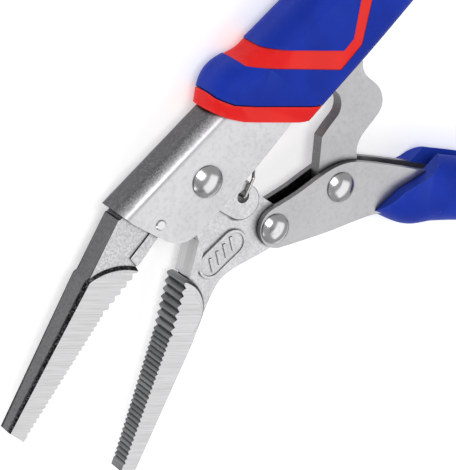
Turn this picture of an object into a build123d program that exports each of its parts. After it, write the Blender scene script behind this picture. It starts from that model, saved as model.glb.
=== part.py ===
from build123d import *
from math import atan2, cos, degrees, hypot, radians, sin
import os

# Long-nose locking pliers lying on one side with the jaws open.
# Built around the jaw pivot: X runs from the jaws to the adjusting knob, Y points to the spine
# of the upper handle, Z is the axis of every rivet. At the end everything is moved so that the
# origin is the middle of the footprint at the height of the table.

# Pivots of the toggle linkage, counted from the jaw pivot.
HANDLE_PIVOT = (6.1, -28.7)
LINK_PIVOT = (27.6, -35.3)
SCREW_TIP = (59.3, 2.1)
SPRING_HOLE = (5.2, -13.9)
TAB_HOLE = (50.5, 8.0)
JAW_PIN = (-17.1, 1.3)

# Upper handle: a folded channel that ends in a tube for the adjusting screw.
CHANNEL_HALF = 6.4
CHANNEL_SHEET = 2.1
CHANNEL_BEND = 4.0
SPINE_Y = 13.0
CHANNEL_FRONT = -23.4
TUBE_START = 102.0
TUBE_END = 124.0

# Jaws.
FIXED_ROOT_HALF = 3.85
RIB_HALF = 4.3
BLADE_ROOT_HALF = 4.95
BLADE_TIP_HALF = 2.85
JAW_PLATE_HALF = 2.05
JAW_PAD_HALF = 3.6
JAW_HUB_HALF = 4.1
PANEL_HALF = 2.8
COARSE_TOOTH = 0.95
FINE_TOOTH = 0.5
RISER = 0.8

# Lower handle: a narrow folded channel that widens inside its grip.
LOWER_FRONT_HALF = 4.1
LOWER_REAR_HALF = 5.2
LOWER_SHEET = 1.95
LOWER_BEND = 1.8
GRIP_ANGLE = 53.0
BEND_START = 115.0
BEND_RADIUS = 110.0
LEVER_PIN = (96.0, 1.0)
LEVER_HALF = 1.9

# Link, rivets, screw and knob.
LINK_HALF = 2.0
RIVET_SHANK = 3.0
MAIN_HEAD = 4.45
SMALL_HEAD = 4.2
RUNNING_GAP = 0.06
SCREW_RADIUS = 3.9
SCREW_PITCH = 1.25
SCREW_START = 67.0
STUD_RADIUS = 2.8
KNOB_RADIUS = 7.2
KNOB_START = 127.5
KNOB_END = 147.0
KNOB_RIDGES = 30

# Spring.
COIL_RADIUS = 2.2
WIRE_RADIUS = 0.45
COIL_PITCH = 1.15

# Grips.
GRIP_HALF = 8.9
FLAT_HALF = 8.75
GRIP_CORNER = 7.0
INLAY_DEPTH = 1.5
INLAY_SUNK = 0.3
GROOVE = 0.45


def polygon(points, half):
    return extrude(make_face(Polyline(*points, close=True)), amount=half, both=True)


def prism(curves, half):
    return extrude(make_face(Curve() + curves), amount=half, both=True)


def disc(centre, radius, half):
    return Pos(centre[0], centre[1], 0) * Cylinder(radius, 2 * half)


def heading(start, end):
    run, rise = end[0] - start[0], end[1] - start[1]
    return hypot(run, rise), degrees(atan2(rise, run))


def stadium(start, end, radius, half):
    length, angle = heading(start, end)
    bar = Pos(start[0], start[1], 0) * Rot(0, 0, angle) * Pos(length / 2, 0, 0) * Box(length, 2 * radius, 2 * half)
    return bar + disc(start, radius, half) + disc(end, radius, half)


def teeth(start, end, count, depth, side):
    """Tooth outline from start towards end; the roots lie on the given side, left being +1."""
    line = Vector(end[0] - start[0], end[1] - start[1])
    step = line * (1 / count)
    inward = Vector(-line.Y, line.X).normalized() * (depth * side)
    points = []
    for index in range(count):
        crest = Vector(start[0], start[1]) + step * index
        flat = crest + step * 0.18
        root = crest + step * 0.6 + inward
        points += [(crest.X, crest.Y), (flat.X, flat.Y), (root.X, root.Y)]
    return points


def along(s, t):
    """Point at length s down the lower handle and height t above its middle line."""
    turn = max(s - BEND_START, 0) / BEND_RADIUS
    x = min(s, BEND_START) + (BEND_RADIUS - t) * sin(turn)
    y = BEND_RADIUS - (BEND_RADIUS - t) * cos(turn)
    angle = radians(-GRIP_ANGLE)
    return (x * cos(angle) - y * sin(angle), x * sin(angle) + y * cos(angle))


def down_handle(points):
    return [along(s, t) for s, t in points]


# ---------------------------------------------------------------- upper handle
def upper_envelope():
    curves = [
        Line((CHANNEL_FRONT, SPINE_Y), (58, SPINE_Y)),
        Spline((58, SPINE_Y), (106, 8.5), tangents=[(1, 0), (1, 0)]),
        Polyline((106, 8.5), (106, -4.2), (60, -5.6), (27.4, -6.9), (13.4, -8.4), (-5, -9.5)),
        Spline((-5, -9.5), (-15.6, -8.0), (-19.2, -2.8), tangents=[(-1, 0.02), (-0.35, 1)]),
        Polyline((-19.2, -2.8), (-22.4, 7.6), (CHANNEL_FRONT, SPINE_Y)),
    ]
    body = prism(curves, CHANNEL_HALF)
    spine_edges = body.edges().filter_by(lambda e: e.center().Y > 8 and e.length > 20)
    return fillet(spine_edges, CHANNEL_BEND)


def along_screw(start, end, radius):
    bar = Cylinder(radius, end - start, align=(Align.CENTER, Align.CENTER, Align.MIN))
    return Pos(start, SCREW_TIP[1], 0) * Rot(0, 90, 0) * bar


def upper_handle():
    top = SPINE_Y - CHANNEL_SHEET
    inside = prism(
        [
            Line((-30, top), (58, top)),
            Spline((58, top), (TUBE_START, 6.4), tangents=[(1, 0), (1, 0)]),
            Polyline((TUBE_START, 6.4), (TUBE_START, -15), (-30, -15), (-30, top)),
        ],
        CHANNEL_HALF - CHANNEL_SHEET,
    )
    corners = inside.edges().filter_by(lambda e: e.center().Y > 5 and e.length > 20)
    inside = fillet(corners, CHANNEL_BEND - CHANNEL_SHEET)
    tab = polygon([(47.3, top + 0.4), (48.3, 6.2), (52.7, 6.2), (53.7, top + 0.4)], 0.9)
    tab -= disc(TAB_HOLE, 1.1, 3)
    handle = upper_envelope() - inside + along_screw(TUBE_START, TUBE_END, CHANNEL_HALF) + tab
    handle -= along_screw(TUBE_START - 4, TUBE_END + 4, SCREW_RADIUS + RUNNING_GAP)
    return handle - disc((0, 0), RIVET_SHANK, 10) - disc(JAW_PIN, 1.5, 10)


# ---------------------------------------------------------------- jaws
def blade_wedge(root, tip):
    """Slab along a jaw, wide at the root and narrow at the tip."""
    length, angle = heading(root, tip)
    slope = (BLADE_TIP_HALF - BLADE_ROOT_HALF) / length
    near = BLADE_ROOT_HALF - slope * 30
    far = BLADE_TIP_HALF + slope * 10
    face = make_face(
        Polyline((-30, -near), (length + 10, -far), (length + 10, far), (-30, near), close=True)
    )
    slab = extrude(Plane.XZ * face, amount=60, both=True)
    return Pos(root[0], root[1], 0) * Rot(0, 0, angle) * slab


def back_bevel(root, tip, side):
    """Cutters for the two bevels along the back of a jaw; its body lies on the given side."""
    length, angle = heading(root, tip)
    slope = (BLADE_TIP_HALF - BLADE_ROOT_HALF) / length
    sections = []
    for x, size in ((-2.0, 1.4), (length + 2.0, 0.4)):
        half = BLADE_ROOT_HALF + slope * x
        corners = [(-3, half - size - 3), (size + 3, half + 3), (-3, half + 3)]
        sections.append(make_face(Polyline(*[(x, side * y, z) for y, z in corners], close=True)))
    cutter = loft(sections, ruled=True)
    place = Pos(root[0], root[1], 0) * Rot(0, 0, angle)
    return place * (cutter + mirror(cutter, Plane.XY))


def soften_riser(blade, near, radius):
    """Slope the step where a milled blade rises out of the forging."""
    def on_step(edge):
        offset = edge.center() - Vector(near[0], near[1], edge.center().Z)
        return abs(edge.center().Z) > 4 and offset.length < radius and edge.length > 10

    return chamfer(blade.edges().filter_by(on_step), RISER)


def fixed_jaw():
    root = polygon(
        [
            (-9.8, 10.0), (-23.8, 10.0), (-24.3, 10.3), (-39.1, 4.6), (-46.0, 2.0), (-44.0, -3.0), (-29.5, -3.9),
            (-27.2, -3.8), (-19.5, -2.2), (-13.0, 2.5), (-10.0, 7.5),
        ],
        FIXED_ROOT_HALF,
    )
    rib = polygon([(-28.9, -3.9), (-27.2, -3.8), (-19.5, -2.2), (-14.6, 1.2), (-28.9, -0.6)], RIB_HALF)
    crests = teeth((-29.6, -4.8), (-44.5, -6.8), 6, COARSE_TOOTH, -1)
    crests += teeth((-44.5, -6.8), (-81.0, -17.0), 25, FINE_TOOTH, -1)
    blade = prism(
        [
            Polyline((-29.2, -3.9), *crests, (-81.0, -17.0), (-82.9, -17.5), (-83.9, -12.1), (-41.6, 4.5)),
            ThreePointArc((-41.6, 4.5), (-34.2, 1.6), (-29.2, -3.9)),
        ],
        8,
    )
    blade &= blade_wedge((-29.2, -3.9), (-83.2, -15.0))
    blade = soften_riser(blade, (-34.8, 1.2), 2.5)
    blade -= back_bevel((-41.6, 4.5), (-83.9, -12.1), 1)
    return blade + root + rib - disc(JAW_PIN, 1.5, 10)


def panel():
    """Raised blank badge with a border and slanted bars, on both faces of the moving jaw."""
    ends = ((-13.6, -22.5), (-5.0, -22.9))
    badge = stadium(*ends, 3.85, PANEL_HALF)
    sunk = stadium(*ends, 3.2, 10) - Box(100, 100, 2 * PANEL_HALF - 0.6)
    for x in (-13.4, -10.7, -8.0, -5.3):
        sunk -= Pos(x, -22.7, 0) * Rot(0, 0, -25) * Box(0.9, 4.2, 30)
    return badge - sunk


def moving_jaw():
    plate = prism(
        [
            Polyline((9.4, -12), (9.3, -19), (11.3, -27.5), (8, -33.5), (2.0, -33.5)),
            Spline((2.0, -33.5), (-8.0, -29.7), (-14.0, -28.5), (-21.2, -30.9), (-25.0, -32.6)),
            Polyline((-25.0, -32.6), (-27, -28), (-23, -21), (-20.6, -19.3), (-12.0, -13.1)),
            Polyline((-12.0, -13.1), (-8.0, -1.0), (0, 6), (8, 0), (9.4, -12)),
        ],
        JAW_PLATE_HALF,
    )
    throat = [(-20.6, -19.3), (-12.0, -13.1), (-8.1, -1.5), (-5.5, -2.5), (-9.9, -14.3), (-19.4, -21.2)]
    flange = polygon(throat, JAW_HUB_HALF)
    length, angle = heading((-20.6, -19.3), (-12.0, -13.1))
    ridge = make_face(Polyline((0, -0.2, -4), (0, -0.2, 4), (0, 0.35, 0), close=True))
    ridge = extrude(ridge, amount=length, dir=(1, 0, 0))
    flange += Pos(-20.6, -19.3, 0) * Rot(0, 0, angle) * ridge
    crests = teeth((-22.6, -18.6), (-35.7, -27.9), 7, COARSE_TOOTH, 1)
    crests += teeth((-35.7, -27.9), (-68.4, -47.3), 27, FINE_TOOTH, 1)
    blade = prism(
        [
            Polyline((-21.2, -18.9), *crests, (-68.4, -47.3), (-70.1, -48.3), (-68.0, -52.0), (-25.2, -31.6)),
            ThreePointArc((-25.2, -31.6), (-20.5, -24.5), (-21.2, -18.9)),
        ],
        8,
    )
    blade &= blade_wedge((-21.2, -18.9), (-69.0, -50.0))
    blade = soften_riser(blade, (-21.2, -24.8), 2.5)
    jaw = plate + disc(HANDLE_PIVOT, 5.2, JAW_PLATE_HALF) + disc((0, 0), 8.4, JAW_HUB_HALF)
    jaw = jaw + stadium((0, 0), (4.2, -15.0), 5.1, JAW_PAD_HALF) + panel() + flange + blade
    jaw -= disc((0, 0), RIVET_SHANK + RUNNING_GAP, 10)
    return jaw - disc(HANDLE_PIVOT, RIVET_SHANK + RUNNING_GAP, 10) - disc(SPRING_HOLE, 1.85, 10)


# ---------------------------------------------------------------- lower handle
def width_slab(front_half, rear_half):
    """Slab as thick as the lower channel: narrow in front, wider from the grip on."""
    face = make_face(
        Polyline(
            (-20, -front_half), (50, -front_half), (68, -rear_half), (200, -rear_half),
            (200, rear_half), (68, rear_half), (50, front_half), (-20, front_half), close=True
        )
    )
    slab = extrude(Plane.XZ * face, amount=120, both=True)
    return Rot(0, 0, -GRIP_ANGLE) * slab


def lower_bottom(inset):
    """Underside of the lower channel, moved up into it by inset."""
    front = [(4.6 + inset * 0.5, -34.9 + inset), (11.8 + inset * 0.5, -39.6 + inset)]
    middle = [(21.8 + inset * 0.5, -45.5 + inset), (31.0 + inset * 0.7, -50.8 + inset * 0.8)]
    rear = down_handle([(66, -4.9 + inset), (80, -4.6 + inset), (100, -4.5 + inset)])
    tail = down_handle([(115, -4.4 + inset), (135, -4.2 + inset), (152, -3.8 + inset)])
    return front + middle + rear + tail


def lower_envelope():
    bottom = lower_bottom(0)
    tail_top = along(152, 5.0)
    top = [tail_top] + down_handle([(135, 5.6), (115, 6.4), (100, 7.0), (77, 7.6), (63, 8.2)])
    top += [(37.4, -35.6), (34.3, -32.1), (31.2, -30.0), (25.1, -27.9), (18.3, -26.5), (13.0, -25.0)]
    top += [(9.2, -23.7)]
    body = prism(
        [
            ThreePointArc((9.2, -23.7), (1.3, -28.4), (4.6, -34.9)),
            Spline(*bottom),
            Line(bottom[-1], tail_top),
            Spline(*top),
        ],
        7,
    )
    return body & width_slab(LOWER_FRONT_HALF, LOWER_REAR_HALF)


def lower_handle():
    floor = lower_bottom(LOWER_SHEET)
    inside = prism(
        [
            Spline(*floor[1:]),
            Polyline(floor[-1], along(160, -1.9), along(160, 30), (10, 0), (-15, -20), (-15, -45)),
            Polyline((-15, -45), (7.5, -45), floor[1]),
        ],
        7,
    )
    inside &= width_slab(LOWER_FRONT_HALF - LOWER_SHEET, LOWER_REAR_HALF - LOWER_SHEET)
    handle = lower_envelope() - inside
    handle -= disc(HANDLE_PIVOT, RIVET_SHANK, 10)
    handle -= disc(LINK_PIVOT, RIVET_SHANK, 10)
    return handle - disc(along(*LEVER_PIN), 1.6, 10)


def toggle_link():
    body = prism(
        [
            Polyline((23.4, -31.0), (26.0, -27.8), (32.8, -20.6), (36.5, -19.9), (39.6, -19.5)),
            ThreePointArc((39.6, -19.5), (44.0, -14.4), (41.4, -9.9)),
            Polyline((41.4, -9.9), (55.9, 5.0), (63.0, -0.6), (57.0, -10.0), (54.9, -13.2)),
            Spline(
                (54.9, -13.2), (53.5, -17.9), (54.2, -22.2), (51.7, -27.9), (47.0, -29.3),
                (42.0, -30.0), (37.0, -33.9),
            ),
            Polyline((37.0, -33.9), (32.4, -38.9), (23.4, -31.0)),
        ],
        LINK_HALF,
    )
    link = body + disc(LINK_PIVOT, 6.0, LINK_HALF) + disc(SCREW_TIP, 4.5, LINK_HALF)
    return link - disc(LINK_PIVOT, RIVET_SHANK + RUNNING_GAP, 10)


def release_lever():
    blade = polygon(
        down_handle(
            [
                (74.0, 5.0), (84, 5.6), (96, 4.4), (112, 4.8), (128, 8.0), (142, 13.0), (160, 14.6),
                (161, 12.4), (146, 10.6), (132, 5.0), (116, 1.0), (104, -1.2), (96, -1.8), (82, 0.8),
                (74.0, 2.2),
            ]
        ),
        LEVER_HALF,
    )
    pad = polygon(down_handle([(147, 13.3), (160.5, 14.8), (161, 12.4), (148, 10.9)]), 5.0)
    return blade + pad - disc(along(*LEVER_PIN), 1.6 + RUNNING_GAP, 10)


# ---------------------------------------------------------------- rivets and pins
def rivet(centre, half, shank, head, rise):
    """Round bar with a low domed head on each side."""
    sphere = (head**2 + rise**2) / (2 * rise)
    rim = half + 0.4
    shoulder = rim + rise - sphere + (sphere**2 - head**2 / 4) ** 0.5
    curves = [
        Polyline((0, rim + rise), (0, 0), (shank, 0), (shank, half), (head, half), (head, rim)),
        ThreePointArc((head, rim), (head / 2, shoulder), (0, rim + rise)),
    ]
    upper = revolve(Plane.XZ * make_face(Curve() + curves), Axis.Z)
    return Pos(centre[0], centre[1], 0) * (upper + mirror(upper, Plane.XY))


def pin(centre, radius, half):
    """Plain pin with chamfered ends."""
    bar = disc(centre, radius, half)
    ends = bar.edges().filter_by(GeomType.CIRCLE)
    return chamfer(ends, 0.3)


# ---------------------------------------------------------------- spring
def hook(points):
    """Bent end of the wire, slightly thinner than the coil, starting in a small bead."""
    path = FilletPolyline(*points, radius=0.7)
    rod = sweep(Plane(path @ 0, z_dir=path % 0) * Circle(WIRE_RADIUS - 0.03), path)
    return rod + Pos(*points[0]) * Sphere(WIRE_RADIUS + 0.05)


def return_spring():
    start = (15.8, -8.6)
    end = (42.6, 4.4)
    length, angle = heading(start, end)
    helix = Helix(length / round(length / COIL_PITCH), length, COIL_RADIUS)
    coil = sweep(Plane(helix @ 0, z_dir=helix % 0) * Circle(WIRE_RADIUS), helix, is_frenet=True)
    coil = Pos(start[0], start[1], 0) * Rot(0, 0, angle) * Rot(0, 90, 0) * Rot(0, 0, 180) * coil
    hole_x, hole_y = SPRING_HOLE
    over_jaw = [(13.0, -10.2, 2.6), (10.4, -11.5, 4.45), (hole_x, hole_y, 4.45), (hole_x, hole_y, -3.4)]
    tab_x, tab_y = TAB_HOLE
    over_tab = [(45.5, 6.0, 1.9), (tab_x, tab_y, 1.9), (tab_x, tab_y, -1.9)]
    coil += hook([(*start, COIL_RADIUS)] + over_jaw)
    return coil + hook([(*end, COIL_RADIUS)] + over_tab)


# ---------------------------------------------------------------- adjusting screw
def adjusting_screw():
    """Threaded rod with a plain nose; its narrow rear end carries the knob."""
    start = SCREW_START + 4
    count = int((KNOB_START - 0.4 - start) / SCREW_PITCH)
    profile = [(SCREW_START, 0), (SCREW_START, 2.2), (SCREW_START + 1, 3.2), (start - 0.5, 3.2)]
    for index in range(count):
        x = start + index * SCREW_PITCH
        profile += [(x, 3.25), (x + SCREW_PITCH * 0.45, SCREW_RADIUS), (x + SCREW_PITCH * 0.6, SCREW_RADIUS)]
    shoulder = KNOB_START - 0.15
    profile += [(shoulder - 0.4, 3.25), (shoulder, 3.25), (shoulder, STUD_RADIUS), (KNOB_END + 0.15, STUD_RADIUS)]
    profile += [(KNOB_END + 0.15, 3.7), (KNOB_END + 0.7, 3.7), (KNOB_END + 1.3, 2.6), (KNOB_END + 1.3, 0)]
    rod = revolve(make_face(Polyline(*profile, close=True)), Axis.X)
    return Pos(0, SCREW_TIP[1], 0) * rod


def adjusting_knob():
    """Ridged knob with a smooth collar at each end."""
    outline = []
    for index in range(KNOB_RIDGES):
        for offset, radius in ((0.0, KNOB_RADIUS), (0.35, KNOB_RADIUS), (0.68, KNOB_RADIUS - 0.55)):
            angle = radians(360 * (index + offset) / KNOB_RIDGES)
            outline.append((radius * cos(angle), radius * sin(angle)))
    length = KNOB_END - KNOB_START
    ridged = Pos(0, 0, 2.2) * extrude(make_face(Polyline(*outline, close=True)), amount=length - 4.4)
    core = Cylinder(KNOB_RADIUS - 0.5, length, align=(Align.CENTER, Align.CENTER, Align.MIN))
    core = chamfer(core.edges().group_by(Axis.Z)[-1] + core.edges().group_by(Axis.Z)[0], 0.8)
    knob = ridged + core - Cylinder(STUD_RADIUS + RUNNING_GAP, 100)
    return Pos(KNOB_START, SCREW_TIP[1], 0) * Rot(0, 90, 0) * knob


# ---------------------------------------------------------------- grips
def rounded_section(place, height, width, inset):
    return place * RectangleRounded(height - 2 * inset, width - 2 * inset, GRIP_CORNER - inset)


def upper_grip_body(inset):
    """Outside of the upper grip: position along X, top, bottom and half width of each section."""
    front = [
        (8, 14.2, -12.5, 7.9), (13, 14.6, -12.5, 8.0), (18, 18.2, -12.5, 8.6), (23, 19.4, -12.4, GRIP_HALF),
        (28.5, 18.0, -12.2, GRIP_HALF), (34, 16.9, -12.0, GRIP_HALF),
    ]
    rear = [
        (34, 16.9, -12.0, GRIP_HALF), (51, 16.6, -11.2, GRIP_HALF), (68, 16.1, -10.2, GRIP_HALF),
        (85, 14.9, -8.9, GRIP_HALF), (102, 13.2, -7.9, GRIP_HALF), (119, 11.6, -7.2, 8.4),
    ]
    return sleeve_loft(upper_place, front, inset) + sleeve_loft(upper_place, rear, inset)


def lower_grip_body(inset):
    """Outside of the lower grip: position along the handle, top, bottom and half width."""
    front = [
        (54, 10.5, -6.0, 7.6), (59, 11.2, -6.3, 8.0), (64, 11.9, -7.6, 8.5), (69, 12.5, -8.6, GRIP_HALF),
        (74, 12.7, -8.2, GRIP_HALF), (79, 12.6, -7.2, GRIP_HALF),
    ]
    rear = [
        (79, 12.6, -7.2, GRIP_HALF), (96, 12.0, -6.2, GRIP_HALF), (113, 11.0, -6.4, GRIP_HALF),
        (130, 10.0, -6.8, GRIP_HALF), (147, 8.8, -6.2, 8.4),
    ]
    return sleeve_loft(lower_place, front, inset) + sleeve_loft(lower_place, rear, inset)


def upper_place(x, middle):
    return Plane(origin=(x, middle, 0), x_dir=(0, 1, 0), z_dir=(1, 0, 0))


def lower_place(s, middle):
    point, above = Vector(along(s, middle)), Vector(along(s, middle + 1))
    across = above - point
    return Plane(origin=point, x_dir=across, z_dir=(across.Y, -across.X, 0))


def sleeve_loft(place_at, stations, inset):
    """Smooth sleeve through its sections, with flat sides for the tool to lie on."""
    faces = []
    for position, top, bottom, half in stations:
        place = place_at(position, (top + bottom) / 2)
        faces.append(rounded_section(place, top - bottom, 2 * half, inset))
    return loft(faces) & Box(400, 400, 2 * FLAT_HALF)


def upper_grips():
    """Blue sleeve, red front collar and red inlay of the upper handle."""
    front = polygon(
        [(11.4, 24), (12.2, 15.5), (14.8, 10.3), (17.4, 6.2), (31.4, -9.6), (33.6, -14), (-5, -20), (-5, 24)], 20
    )
    collar_zone = polygon(
        [(15.6, 24), (16.2, 15.8), (18.2, 12.0), (22.5, 6.8), (37.0, -9.4), (38.0, -20), (-5, -20), (-5, 24)], 20
    )
    inlay_zone = polygon(
        [
            (27.2, 20), (27.8, 16.6), (47.0, -5.0), (55.9, -4.2), (73.0, 9.2), (112, 7.0), (112, 9.8),
            (70.5, 12.4), (55.0, -0.9), (50.9, -1.3), (34.6, 16.6), (34.0, 20),
        ],
        20,
    )
    hollow = upper_envelope() + along_screw(TUBE_START, TUBE_END, CHANNEL_HALF)
    hollow += Pos(55, -10, 0) * Box(104, 20, 2 * (CHANNEL_HALF - CHANNEL_SHEET))
    sleeve = upper_grip_body(0) - front - hollow
    outside, core = upper_grip_body(0), upper_grip_body(INLAY_DEPTH)
    recess = (outside - core) & inlay_zone
    inlay = (upper_grip_body(INLAY_SUNK) - core) & inlay_zone
    groove = (outside - upper_grip_body(GROOVE)) & (Pos(GROOVE, 0, 0) * collar_zone - collar_zone)
    return sleeve - collar_zone - recess - groove, sleeve & collar_zone, inlay


def lower_grips():
    """Blue sleeve and red inlay of the lower handle."""
    front = polygon(
        down_handle([(40, -14), (57.0, -14), (57.6, -5.4), (63.7, 1.9), (72, 8.0), (76.5, 14), (76.5, 24), (40, 24)]), 20
    )
    inlay_zone = polygon(
        down_handle(
            [
                (94, 16), (96, 11.5), (105, -1.6), (112, -1.6), (120, 3.0), (140, 2.4), (140, 4.8),
                (117, 5.6), (111, 1.4), (107.5, 1.4), (100, 11.5), (98.5, 16),
            ]
        ),
        20,
    )
    hollow = lower_envelope()
    gap = LOWER_REAR_HALF - LOWER_SHEET
    hollow += polygon(down_handle([(50, 0), (100, 0), (125, 0), (160, 0), (160, 20), (125, 20), (100, 20), (50, 20)]), gap)
    outside, core = lower_grip_body(0), lower_grip_body(INLAY_DEPTH)
    recess = (outside - core) & inlay_zone
    inlay = ((lower_grip_body(INLAY_SUNK) - core) & inlay_zone) - hollow
    return outside - front - hollow - recess, inlay


# ---------------------------------------------------------------- assembly
def build():
    sleeve, collar, inlay = upper_grips()
    lower_sleeve, lower_inlay = lower_grips()
    return {
        "upper_handle": upper_handle(),
        "fixed_jaw": fixed_jaw(),
        "fixed_jaw_pin": pin(JAW_PIN, 1.5, CHANNEL_HALF + 0.4),
        "jaw_pivot_rivet": rivet((0, 0), CHANNEL_HALF, RIVET_SHANK, MAIN_HEAD, 1.5),
        "moving_jaw": moving_jaw(),
        "lower_handle": lower_handle(),
        "jaw_handle_rivet": rivet(HANDLE_PIVOT, LOWER_FRONT_HALF, RIVET_SHANK, SMALL_HEAD, 1.4),
        "link_rivet": rivet(LINK_PIVOT, LOWER_FRONT_HALF, RIVET_SHANK, SMALL_HEAD, 1.4),
        "toggle_link": toggle_link(),
        "release_lever": release_lever(),
        "release_lever_pin": pin(along(*LEVER_PIN), 1.6, LOWER_REAR_HALF),
        "return_spring": return_spring(),
        "adjusting_screw": adjusting_screw(),
        "adjusting_knob": adjusting_knob(),
        "upper_grip": sleeve,
        "upper_grip_collar": collar,
        "upper_grip_inlay": inlay,
        "lower_grip": lower_sleeve,
        "lower_grip_inlay": lower_inlay,
    }


def main():
    os.makedirs("parts", exist_ok=True)
    nodes = build()
    whole = Compound(children=[Compound(node.solids()) for node in nodes.values()]).bounding_box()
    middle = whole.center()
    place = Pos(-middle.X, -middle.Y, -whole.min.Z)
    print("moved by", -middle.X, -middle.Y, -whole.min.Z)
    for name, node in nodes.items():
        solids = [place * solid for solid in node.solids()]
        export_step(solids[0] if len(solids) == 1 else Compound(solids), f"parts/{name}.step")


if __name__ == "__main__":
    main()
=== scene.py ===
import bpy
from mathutils import Matrix, Vector


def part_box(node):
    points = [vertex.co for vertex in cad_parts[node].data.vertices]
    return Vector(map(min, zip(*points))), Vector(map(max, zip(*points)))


# Looks of long-nose locking pliers that lie on one side. Metres, in the frame of the CAD model.

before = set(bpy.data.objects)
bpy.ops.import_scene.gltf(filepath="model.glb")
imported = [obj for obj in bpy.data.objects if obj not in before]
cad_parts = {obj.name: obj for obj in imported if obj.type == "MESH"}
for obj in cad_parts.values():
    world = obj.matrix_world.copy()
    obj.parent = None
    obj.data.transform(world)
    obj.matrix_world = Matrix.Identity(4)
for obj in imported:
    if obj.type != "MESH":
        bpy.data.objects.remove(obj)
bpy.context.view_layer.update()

# The jaw pivot is the natural place to count from, because the jaws and handles turn around it.
low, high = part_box("jaw_pivot_rivet")
PIVOT = [(a + b) / 2 for a, b in zip(low, high)]

# The camera, counted from the pivot: where it stands and which ways are right and up in its picture.
CAMERA_PLACE = Vector((-0.09949, 0.39448, 0.56645))
CAMERA_RIGHT = Vector((0.68042416, -0.53129662, 0.50472455))
CAMERA_UP = Vector((0.72039685, 0.6112233, -0.32777195))
CAMERA_LENS = 200
CAMERA_SENSOR = 36

# Where the milled face of each blade begins, as a line between two points counted from the pivot.
FIXED_MILLED = ((-0.0416, 0.0045), (-0.0292, -0.0039))
MOVING_MILLED = ((-0.0212, -0.0189), (-0.0252, -0.0316))
GRINDING_TURN = 0.70

# The rounded end of the moving jaw's pad: its centre, the direction it ends in, and its radius.
PAD_END = ((0.0042, -0.0150), (0.27, -0.963), 0.0051)

# Directions of the sheet's grain, in radians, and how far the painted shade in the hollow of the lower channel
# reaches.
LOWER_GRAIN = -0.93
LINK_GRAIN = 0.8
LOWER_INSIDE_SHADE = 0.0022


# Both blades get thinner towards their tips: half their thickness is a straight line in X.
BLADE_HALF_AT_PIVOT = 0.00651
BLADE_TAPER = 0.0447


# ---------------------------------------------------------------- node helpers
class Nodes:
    """Short ways of adding shader nodes to one material. Positions are the piece's own, in metres."""

    def __init__(self, name):
        self.material = bpy.data.materials.new(name)
        self.material.use_nodes = True
        self.tree = self.material.node_tree
        self.shader = self.tree.nodes["Principled BSDF"]
        self.place = self.add("ShaderNodeTexCoord").outputs["Object"]
        self.split = self.add("ShaderNodeSeparateXYZ")
        self.link(self.place, self.split.inputs[0])

    def add(self, kind):
        return self.tree.nodes.new(kind)

    def link(self, source, socket):
        if isinstance(source, (int, float)):
            socket.default_value = source
        elif isinstance(source, tuple):
            socket.default_value = (*source, 1.0) if len(source) == 3 else source
        else:
            self.tree.links.new(source, socket)

    def math(self, operation, a, b=0.0, clamp=False):
        node = self.add("ShaderNodeMath")
        node.operation = operation
        node.use_clamp = clamp
        self.link(a, node.inputs[0])
        self.link(b, node.inputs[1])
        return node.outputs[0]

    def ramp(self, value, start, end, low=0.0, high=1.0):
        """low before start, high after end, smooth between."""
        node = self.add("ShaderNodeMapRange")
        node.interpolation_type = "SMOOTHSTEP"
        for socket, number in (("From Min", start), ("From Max", end), ("To Min", low), ("To Max", high)):
            node.inputs[socket].default_value = number
        self.link(value, node.inputs["Value"])
        return node.outputs["Result"]

    def mix(self, factor, a, b):
        node = self.add("ShaderNodeMix")
        node.data_type = "RGBA"
        self.link(factor, node.inputs["Factor"])
        self.link(a, node.inputs["A"])
        self.link(b, node.inputs["B"])
        return node.outputs["Result"]

    def stretched(self, size, turn=0.0):
        """Object position, turned about Z by turn radians and then scaled along each axis."""
        turned = self.add("ShaderNodeMapping")
        turned.vector_type = "POINT"
        turned.inputs["Rotation"].default_value = (0, 0, -turn)
        self.link(self.place, turned.inputs["Vector"])
        scaled = self.add("ShaderNodeMapping")
        scaled.inputs["Scale"].default_value = size
        self.link(turned.outputs[0], scaled.inputs["Vector"])
        return scaled.outputs[0]

    def noise(self, where, scale=1.0, detail=3.0, roughness=0.55):
        node = self.add("ShaderNodeTexNoise")
        node.inputs["Scale"].default_value = scale
        node.inputs["Detail"].default_value = detail
        node.inputs["Roughness"].default_value = roughness
        self.link(where, node.inputs["Vector"])
        return node.outputs["Fac"]

    def normal(self, axis):
        """How far the surface faces along an axis of the world, from -1 to 1."""
        node = self.add("ShaderNodeNewGeometry")
        split = self.add("ShaderNodeSeparateXYZ")
        self.link(node.outputs["Normal"], split.inputs[0])
        return split.outputs[axis]

    def edges(self, radius):
        """1 near convex edges and 0 on flats. A larger radius needs a sharper edge."""
        node = self.add("ShaderNodeNewGeometry")
        return self.ramp(node.outputs["Pointiness"], 0.51, 0.56 + radius)

    def painted_corner_shade(self, tone, shade_tone, reach):
        """Darkens a tone in corners with painted shade, where ambient occlusion finds them."""
        node = self.add("ShaderNodeAmbientOcclusion")
        node.inputs["Distance"].default_value = reach
        node.samples = 8
        return self.mix(self.ramp(node.outputs["AO"], 0.35, 0.95), shade_tone, tone)

    def bump(self, height, distance, strength=1.0, base=None):
        node = self.add("ShaderNodeBump")
        node.inputs["Distance"].default_value = distance
        node.inputs["Strength"].default_value = strength
        self.link(height, node.inputs["Height"])
        if base is not None:
            self.link(base, node.inputs["Normal"])
        return node.outputs[0]

    def give(self, **sockets):
        for name, value in sockets.items():
            self.link(value, self.shader.inputs[name.replace("_", " ")])
        return self.material


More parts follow.
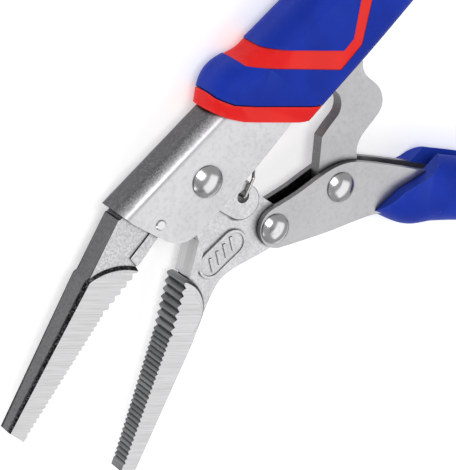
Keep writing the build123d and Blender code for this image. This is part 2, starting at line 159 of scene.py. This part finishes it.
# ---------------------------------------------------------------- metals
def plated_steel(name, bright, side_shade=(0.16, 0.16, 0.165), inner=-1.0, grain=0.0, base_rough=0.27):
    """Nickel-plated sheet: satin, faintly orange-peeled, duller in patches, finely scratched.

    Faces turned away from Z, such as its spine and cut edges, get painted shade, and its bends are duller and
    gritty. inner is the distance from the middle plane within which the hollow of a fold gets painted shade,
    nearly black.
    """
    n = Nodes(name)
    patch = n.ramp(n.noise(n.stretched((60, 60, 60)), detail=4), 0.35, 0.7)
    fine = n.noise(n.stretched((900, 900, 900)), detail=2)
    brushed = n.noise(n.stretched((260, 4200, 4200), grain), detail=2)
    scratch = n.ramp(n.noise(n.stretched((90, 5200, 2500), grain + 0.5), detail=1), 0.66, 0.7)
    lean = n.math("ABSOLUTE", n.normal("Z"))
    bend = n.math("MULTIPLY", n.ramp(lean, 0.03, 0.30), n.ramp(lean, 0.80, 0.99, 1.0, 0.0))
    grit = n.ramp(n.noise(n.stretched((2200, 2200, 2200)), detail=3, roughness=0.7), 0.40, 0.60)
    bend_grit = n.math("MULTIPLY", n.math("MULTIPLY", grit, bend), 0.35)
    # Painted shade: faces turned away from Z, like the spine and cut edges, go from the bright tone to the
    # shaded tone.
    lit_facing = n.math("SUBTRACT", n.ramp(lean, 0.05, 0.9), bend_grit, clamp=True)
    tone = n.mix(lit_facing, side_shade, bright)
    # Painted shade, nearly black, in the hollow of a fold near the middle plane.
    depth = n.math("ABSOLUTE", n.math("SUBTRACT", n.split.outputs["Z"], PIVOT[2]))
    within = n.ramp(depth, inner, inner + 0.0003, 1.0, 0.0)
    inside_shade = n.math("MULTIPLY", within, n.ramp(n.normal("Y"), -0.4, -0.2))
    tone = n.mix(inside_shade, tone, (0.025, 0.025, 0.026))
    tone = n.mix(n.math("MULTIPLY", patch, 0.10), tone, (0.36, 0.355, 0.35))
    tone = n.mix(n.ramp(fine, 0.45, 0.7, 0.0, 0.20), tone, (0.30, 0.30, 0.30))
    # Painted shade in corners and between parts.
    tone = n.painted_corner_shade(tone, (0.07, 0.07, 0.07), 0.0012)
    tone = n.mix(n.math("MULTIPLY", scratch, 0.16), tone, (0.80, 0.80, 0.80))
    rough = n.math("ADD", n.math("MULTIPLY", patch, 0.09), base_rough)
    rough = n.math("ADD", rough, n.math("MULTIPLY", fine, 0.07))
    rough = n.math("ADD", rough, n.math("MULTIPLY", bend, 0.22))
    relief = n.bump(n.math("ADD", n.math("MULTIPLY", brushed, 0.5), fine), 0.00002, 0.35)
    return n.give(Base_Color=tone, Metallic=1.0, Roughness=rough, Normal=relief)


def jaw_steel(name, milled_line, forged_and_shade_tone, facing, pitting, pad=None):
    """Forged steel, speckled and rough on its edges and root, with painted shade on faces turned away from Z,
    and a milled blade with grinding lines.

    milled_line is where the blade's milled face begins. roots is the tone of the forged faces turned away from
    Z, their own speckle darkened with painted shade. facing is which way along Y the teeth face. pitting is how
    black the pits are. Painted shade fills the corner round the pad's end.
    """
    n = Nodes(name)
    x = n.math("SUBTRACT", n.split.outputs["X"], PIVOT[0])
    y = n.math("SUBTRACT", n.split.outputs["Y"], PIVOT[1])
    start, end = milled_line
    run, rise = end[0] - start[0], end[1] - start[1]
    size = (run * run + rise * rise) ** 0.5
    across = n.math("MULTIPLY", n.math("SUBTRACT", x, start[0]), rise / size)
    across = n.math("SUBTRACT", across, n.math("MULTIPLY", n.math("SUBTRACT", y, start[1]), run / size))
    milled = n.ramp(across, -0.0004, 0.0004)
    flat = n.ramp(n.math("ABSOLUTE", n.normal("Z")), 0.55, 0.9)
    speckle = n.noise(n.stretched((1500, 1500, 1500)), detail=4, roughness=0.75)
    blotch = n.noise(n.stretched((140, 140, 140)), detail=3)
    lines = n.noise(n.stretched((3400, 60, 90), GRINDING_TURN), detail=3, roughness=0.7)
    broad = n.noise(n.stretched((700, 40, 60), GRINDING_TURN), detail=2)
    polished = n.mix(n.ramp(lines, 0.34, 0.66), (0.50, 0.50, 0.505), (0.61, 0.61, 0.618))
    forged = n.mix(n.ramp(speckle, 0.40, 0.60, 0.0, pitting), (0.70, 0.70, 0.71), (0.12, 0.12, 0.125))
    forged = n.mix(n.ramp(blotch, 0.45, 0.7, 0.0, 0.3), forged, (0.42, 0.42, 0.43))
    upper = n.mix(milled, forged, polished)
    # Faces turned away from Z get the forged speckle over painted shade.
    skin_and_shade = n.mix(n.ramp(speckle, 0.35, 0.65), forged_and_shade_tone, tuple(min(1.0, c * 1.5) for c in forged_and_shade_tone))
    # Painted shade, nearly black and broken by speckle, on the strips turned away from Z near the blade's full
    # thickness.
    blade_half = n.math("ADD", n.math("MULTIPLY", x, BLADE_TAPER), BLADE_HALF_AT_PIVOT)
    depth = n.math("ABSOLUTE", n.math("SUBTRACT", n.split.outputs["Z"], PIVOT[2]))
    strip_shade = n.ramp(n.math("SUBTRACT", depth, blade_half), -0.0016, -0.0010)
    strip_shade = n.math("MULTIPLY", strip_shade, n.ramp(speckle, 0.46, 0.70, 1.0, 0.3))
    teeth = n.mix(n.ramp(broad, 0.3, 0.7), (0.13, 0.135, 0.14), (0.22, 0.225, 0.23))
    mouth = n.ramp(n.math("MULTIPLY", n.normal("Y"), facing), 0.1, 0.5)
    edge = n.mix(mouth, skin_and_shade, n.mix(milled, (0.60, 0.60, 0.605), teeth))
    # Painted shade in corners and between parts, over the jaw's tones.
    tone = n.painted_corner_shade(n.mix(flat, edge, upper), (0.07, 0.07, 0.072), 0.0010)
    strip_shade = n.math("MULTIPLY", strip_shade, n.ramp(n.math("ABSOLUTE", n.normal("Z")), 0.90, 0.98, 1.0, 0.0))
    strip_shade = n.math("MULTIPLY", strip_shade, n.math("SUBTRACT", 1.0, mouth))
    tone = n.mix(strip_shade, tone, (0.02, 0.02, 0.021))
    # Painted shade in the corner round the rounded end of the pad.
    if pad is not None:
        tone = n.mix(pad_corner_shade(n, x, y, *pad), tone, (0.035, 0.035, 0.037))
    rough_flat = n.math("ADD", n.math("MULTIPLY", milled, -0.10), 0.40)
    rough = n.math("ADD", rough_flat, n.math("MULTIPLY", speckle, 0.10))
    pits = n.bump(n.math("MULTIPLY", speckle, n.math("SUBTRACT", 1.0, milled)), 0.00025, pitting)
    relief = n.bump(n.math("MULTIPLY", lines, milled), 0.00003, 0.5, pits)
    return n.give(Base_Color=tone, Metallic=1.0, Roughness=rough, Normal=relief)


def pad_corner_shade(n, x, y, centre, ahead, radius):
    """1 in the corner round the rounded end of a raised pad, where shade is painted, and 0 elsewhere."""
    x = n.math("SUBTRACT", x, centre[0])
    y = n.math("SUBTRACT", y, centre[1])
    reach = n.math("SQRT", n.math("ADD", n.math("MULTIPLY", x, x), n.math("MULTIPLY", y, y)))
    inner = n.ramp(reach, radius - 0.00025, radius - 0.00005)
    outer = n.ramp(reach, radius + 0.0004, radius + 0.0011, 1.0, 0.0)
    past = n.math("ADD", n.math("MULTIPLY", x, ahead[0]), n.math("MULTIPLY", y, ahead[1]))
    return n.math("MULTIPLY", n.math("MULTIPLY", inner, outer), n.ramp(past, -0.0015, 0.0015, 0.0, 0.9))


def turned_steel(name, tone_low, tone_high, rough=0.24):
    """Turned and plated steel: faint rings round X, a little grime."""
    n = Nodes(name)
    rings = n.noise(n.stretched((3800, 200, 200)), detail=2)
    grime = n.ramp(n.noise(n.stretched((180, 180, 180)), detail=4), 0.4, 0.75)
    tone = n.mix(grime, tone_high, tone_low)
    roughness = n.math("ADD", n.math("MULTIPLY", grime, 0.14), rough)
    return n.give(Base_Color=tone, Metallic=1.0, Roughness=roughness, Normal=n.bump(rings, 0.00002, 0.4))


def rivet_steel(name):
    """Rolled rivet dome: bright and smooth, with dull worn patches and a fine haze."""
    n = Nodes(name)
    haze = n.noise(n.stretched((500, 500, 500)), detail=3)
    worn = n.ramp(n.noise(n.stretched((240, 240, 240)), detail=2), 0.5, 0.7)
    tone = n.mix(worn, (0.62, 0.62, 0.63), (0.42, 0.42, 0.43))
    rough = n.math("ADD", n.math("MULTIPLY", haze, 0.14), 0.12)
    return n.give(Base_Color=tone, Metallic=1.0, Roughness=rough, Normal=n.bump(haze, 0.00003, 0.35))


# ---------------------------------------------------------------- grips
def rubber(name, deep, bright, dust):
    """Moulded rubber: fine sandy grain, soft sheen, slight dust and worn high spots."""
    n = Nodes(name)
    grain = n.noise(n.stretched((2600, 2600, 2600)), detail=2)
    cloud = n.ramp(n.noise(n.stretched((55, 55, 55)), detail=4), 0.35, 0.7)
    worn = n.edges(0.04)
    tone = n.mix(cloud, deep, bright)
    tone = n.mix(n.math("MULTIPLY", worn, 0.25), tone, dust)
    tone = n.mix(n.math("MULTIPLY", n.ramp(grain, 0.62, 0.8), 0.12), tone, dust)
    rough = n.math("ADD", n.math("MULTIPLY", grain, 0.16), 0.52)
    # Painted shade in corners and between parts, a darker copy of the deep tone.
    tone = n.painted_corner_shade(tone, tuple(c * 0.12 for c in deep), 0.0009)
    material = n.give(Base_Color=tone, Roughness=rough, Normal=n.bump(grain, 0.00010, 0.6))
    n.shader.inputs["Specular IOR Level"].default_value = 0.16
    n.shader.inputs["Sheen Weight"].default_value = 0.02
    return material


# ---------------------------------------------------------------- paint every node
def paint(material, *names):
    for node in names:
        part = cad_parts[node]
        part.data.materials.clear()
        part.data.materials.append(material)


# The upper channel gets a deeper painted shade on its spine and edges than the other sheets.
paint(
    plated_steel("upper channel plating", bright=(0.585, 0.58, 0.60), side_shade=(0.09, 0.09, 0.095)),
    "upper_handle",
)
paint(
    plated_steel("lower channel plating", bright=(0.445, 0.44, 0.455), inner=LOWER_INSIDE_SHADE, grain=LOWER_GRAIN),
    "lower_handle",
)
paint(plated_steel("link plating", bright=(0.46, 0.455, 0.47), grain=LINK_GRAIN, base_rough=0.3), "toggle_link")
paint(plated_steel("lever plating", bright=(0.5, 0.495, 0.51), grain=LOWER_GRAIN), "release_lever")
# Each jaw's forged faces turned away from Z get a tone of speckle darkened with painted shade.
paint(
    jaw_steel("fixed jaw steel", FIXED_MILLED, forged_and_shade_tone=(0.11, 0.11, 0.115), facing=-1, pitting=0.34),
    "fixed_jaw",
)
paint(
    jaw_steel(
        "moving jaw steel", MOVING_MILLED, forged_and_shade_tone=(0.16, 0.16, 0.165), facing=1, pitting=0.22, pad=PAD_END
    ),
    "moving_jaw",
)
paint(
    rivet_steel("rivet domes"),
    "jaw_pivot_rivet", "jaw_handle_rivet", "link_rivet", "fixed_jaw_pin", "release_lever_pin",
)
paint(turned_steel("spring wire", (0.38, 0.37, 0.36), (0.74, 0.73, 0.71)), "return_spring")
paint(turned_steel("screw plating", (0.5, 0.49, 0.47), (0.78, 0.77, 0.75)), "adjusting_screw")
paint(turned_steel("knob plating", (0.56, 0.55, 0.54), (0.82, 0.81, 0.80), 0.2), "adjusting_knob")
paint(
    rubber("blue rubber", (0.003, 0.024, 0.33), (0.005, 0.034, 0.43), (0.04, 0.10, 0.50)),
    "upper_grip", "lower_grip",
)
paint(
    rubber("red rubber", (0.78, 0.010, 0.010), (0.90, 0.016, 0.014), (0.92, 0.09, 0.07)),
    "upper_grip_collar", "upper_grip_inlay", "lower_grip_inlay",
)


# ---------------------------------------------------------------- stage, light and camera
def floor():
    bpy.ops.mesh.primitive_plane_add(size=6.0, location=(0, 0, -0.0002))
    ground = bpy.context.object
    ground.name = "floor"
    n = Nodes("pale floor")
    cloud = n.noise(n.stretched((3, 3, 3)), detail=2)
    ground.data.materials.append(
        n.give(Base_Color=n.mix(cloud, (0.90, 0.90, 0.90), (0.93, 0.93, 0.93)), Roughness=0.9)
    )
    n.shader.inputs["Emission Color"].default_value = (1, 1, 1, 1)
    n.shader.inputs["Emission Strength"].default_value = 0.35


def light(name, place, target, size, power):
    data = bpy.data.lights.new(name, "AREA")
    data.shape = "RECTANGLE"
    data.size, data.size_y = size
    data.energy = power
    lamp = bpy.data.objects.new(name, data)
    bpy.context.scene.collection.objects.link(lamp)
    lamp.location = place
    lamp.rotation_euler = (Vector(target) - Vector(place)).to_track_quat("-Z", "Y").to_euler()


def surroundings(strength):
    world = bpy.data.worlds.new("studio")
    world.use_nodes = True
    world.node_tree.nodes["Background"].inputs["Color"].default_value = (1, 1, 1, 1)
    world.node_tree.nodes["Background"].inputs["Strength"].default_value = strength
    bpy.context.scene.world = world


def camera():
    back = CAMERA_RIGHT.cross(CAMERA_UP).normalized()
    data = bpy.data.cameras.new("camera")
    data.lens = CAMERA_LENS
    data.sensor_width = CAMERA_SENSOR
    data.sensor_fit = "AUTO"
    data.clip_start = 0.01
    data.clip_end = 20
    eye = bpy.data.objects.new("camera", data)
    bpy.context.scene.collection.objects.link(eye)
    axes = Matrix((CAMERA_RIGHT, CAMERA_UP, back)).transposed().to_4x4()
    eye.matrix_world = Matrix.Translation(Vector(PIVOT) + CAMERA_PLACE) @ axes
    bpy.context.scene.camera = eye


floor()
surroundings(0.42)
light("key", (0.14, -0.62, 0.84), (0, 0, 0), (1.3, 0.9), 3.4)
light("fill", (-0.8, 0.0, 0.45), (0, 0, 0), (0.35, 0.35), 1.2)
light("top", (0.0, 0.45, 1.0), (0, 0, 0), (0.5, 0.5), 4.0)
camera()
bpy.context.scene.view_settings.view_transform = "Standard"
